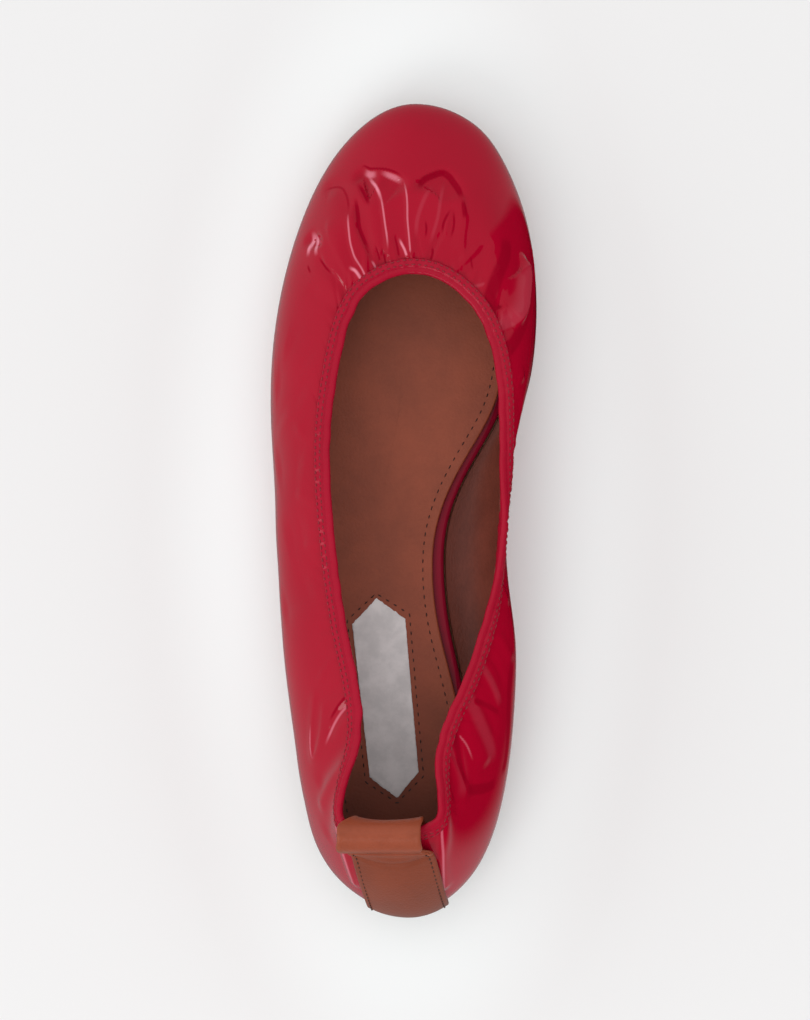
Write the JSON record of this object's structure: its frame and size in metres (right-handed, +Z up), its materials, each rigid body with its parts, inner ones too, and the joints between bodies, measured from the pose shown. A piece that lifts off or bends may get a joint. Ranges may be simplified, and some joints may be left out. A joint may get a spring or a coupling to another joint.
{
  "type": "ballet flat",
  "caption": "Round-toed slip-on ballet flat for the left foot, with a hollow upper, elastic-bound topline, thin sole, low heel and a folded pull loop at the back.",
  "frame": {"origin": "middle of the footprint of the bounding box, on the floor", "axes": "+Y from heel to toe along the length, +X to the medial side, +Z up"},
  "size_m": [0.0808, 0.2466, 0.0647],
  "materials": {
    "patent": "glossy red patent leather",
    "tan_leather": "smooth tan leather, satin",
    "insole_leather": "smooth tan lining leather, matt",
    "label": "silvery white leather, satin",
    "sole_leather": "smooth sole leather",
    "heel_rubber": "matt dark rubber"
  },
  "bodies": {
    "root": {"outsole": "sole_leather", "heel_lift": "heel_rubber", "footbed": "patent", "insole": "insole_leather", "insole_label": "label", "upper": "patent", "topline_binding": "patent", "back_strip": "tan_leather"}
  },
  "joints": []
}
